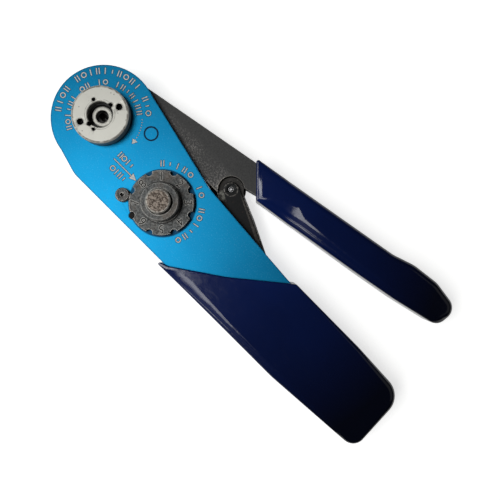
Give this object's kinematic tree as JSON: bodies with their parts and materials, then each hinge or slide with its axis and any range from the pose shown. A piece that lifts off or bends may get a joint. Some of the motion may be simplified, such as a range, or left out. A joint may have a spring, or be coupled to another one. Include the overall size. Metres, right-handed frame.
{
  "type": "adjustable crimp tool",
  "caption": "Hand crimp tool with a round head, a positioner retainer, a notched selector dial, a toggle link and two dipped handles.",
  "frame": {"origin": "crimp axis at the mouth of the wire guide, in the plane of the surface that the tool lies on", "axes": "+X along the fixed handle, +Y towards the moving handle, +Z along the crimp axis towards the positioner retainer and the dial"},
  "size_m": [0.1719, 0.0683, 0.027],
  "materials": {
    "blue_anodised": "blue anodised, satin",
    "navy_vinyl": "glossy dipped vinyl",
    "black_oxide_steel": "black oxide, worn",
    "worn_steel": "worn dark steel",
    "satin_silver": "satin, blasted",
    "plain_steel": "plain steel"
  },
  "bodies": {
    "frame": {"front_plate": "blue_anodised", "back_plate": "blue_anodised", "handle_core": "plain_steel", "fixed_grip": "navy_vinyl", "indenter_block": "plain_steel", "indenter_spring": "plain_steel", "wire_guide": "plain_steel", "positioner_ring": "satin_silver", "retainer_screw_1": "black_oxide_steel", "retainer_screw_2": "black_oxide_steel", "thrust_spring": "plain_steel", "head_dowel": "blue_anodised", "spacer_post_1": "plain_steel", "spacer_post_2": "plain_steel", "spacer_post_3": "plain_steel", "spacer_post_4": "plain_steel", "spacer_post_5": "plain_steel", "body_screw_1": "black_oxide_steel", "body_screw_2": "black_oxide_steel", "body_screw_3": "black_oxide_steel", "body_screw_4": "black_oxide_steel", "lock_post": "worn_steel", "index_pin": "worn_steel", "selector_bushing": "plain_steel", "link_pin": "plain_steel", "return_spring": "plain_steel", "pawl_pin": "plain_steel", "pawl_spring": "plain_steel"},
    "hub": {"thrust_hub": "satin_silver"},
    "selector": {"selector_cam": "plain_steel", "selector_spring": "plain_steel"},
    "knob": {"selector_dial": "worn_steel", "selector_shaft": "worn_steel", "shaft_clip": "black_oxide_steel"},
    "link": {"toggle_link": "worn_steel", "ratchet_sector": "black_oxide_steel", "sector_rivet_1": "plain_steel", "sector_rivet_2": "plain_steel"},
    "pawl": {"ratchet_pawl": "plain_steel"},
    "lever": {"moving_lever": "black_oxide_steel", "moving_grip": "navy_vinyl", "knuckle_pin": "plain_steel"},
    "ring": {"cam_ring": "plain_steel", "drive_pin": "plain_steel"},
    "indenter_1": {"indenter_1": "plain_steel"},
    "indenter_2": {"indenter_2": "plain_steel"},
    "indenter_3": {"indenter_3": "plain_steel"},
    "indenter_4": {"indenter_4": "plain_steel"}
  },
  "joints": [
    {"name": "handle_close", "type": "hinge", "parent": "frame", "child": "link", "pos_m": [0.09, -0.004, 0.008], "axis": [0, 0, 1], "range_deg": [0, 10], "stiffness_Nm_per_rad": 0.5, "springref_deg": -3.44},
    {"name": "lever_pivot", "type": "hinge", "parent": "link", "child": "lever", "pos_m": [0.0518, 0.0148, 0.008], "axis": [0, 0, 1], "range_deg": [-19.6, 0]},
    {"name": "cam_ring_turn", "type": "hinge", "parent": "frame", "child": "ring", "pos_m": [0, 0, 0.0084], "axis": [0, 0, 1], "range_deg": [0, 8.95]},
    {"name": "indenter_1_slide", "type": "slide", "parent": "frame", "child": "indenter_1", "axis": [-1, 0, 0], "range_m": [0, 0.00091]},
    {"name": "indenter_2_slide", "type": "slide", "parent": "frame", "child": "indenter_2", "axis": [0, -1, 0], "range_m": [0, 0.00091]},
    {"name": "indenter_3_slide", "type": "slide", "parent": "frame", "child": "indenter_3", "axis": [1, 0, 0], "range_m": [0, 0.00091]},
    {"name": "indenter_4_slide", "type": "slide", "parent": "frame", "child": "indenter_4", "axis": [0, 1, 0], "range_m": [0, 0.00091]},
    {"name": "selector_turn", "type": "hinge", "parent": "frame", "child": "selector", "pos_m": [0.0378, -0.007, 0.0084], "axis": [0, 0, 1], "continuous": true},
    {"name": "selector_lift", "type": "slide", "parent": "selector", "child": "knob", "axis": [0, 0, 1], "range_m": [0, 0.0025], "stiffness_N_per_m": 600, "springref_m": -0.003, "deforming": ["selector_spring"]},
    {"name": "hub_push", "type": "slide", "parent": "frame", "child": "hub", "axis": [0, 0, -1], "range_m": [0, 0.0015], "stiffness_N_per_m": 700, "springref_m": -0.002, "deforming": ["thrust_spring"]},
    {"name": "pawl_flip", "type": "hinge", "parent": "frame", "child": "pawl", "pos_m": [0.06236, -0.01277, 0.0105], "axis": [0, 0, 1], "range_deg": [-10, 10], "stiffness_Nm_per_rad": 0.005}
  ],
  "couplings": [
    {"joint": "lever_pivot", "follows": "handle_close", "ratio": -1.955},
    {"joint": "cam_ring_turn", "follows": "handle_close", "ratio": 0.89},
    {"joint": "indenter_1_slide", "follows": "handle_close", "m_per_rad": 0.0051566},
    {"joint": "indenter_2_slide", "follows": "handle_close", "m_per_rad": 0.0051566},
    {"joint": "indenter_3_slide", "follows": "handle_close", "m_per_rad": 0.0051566},
    {"joint": "indenter_4_slide", "follows": "handle_close", "m_per_rad": 0.0051566}
  ]
}
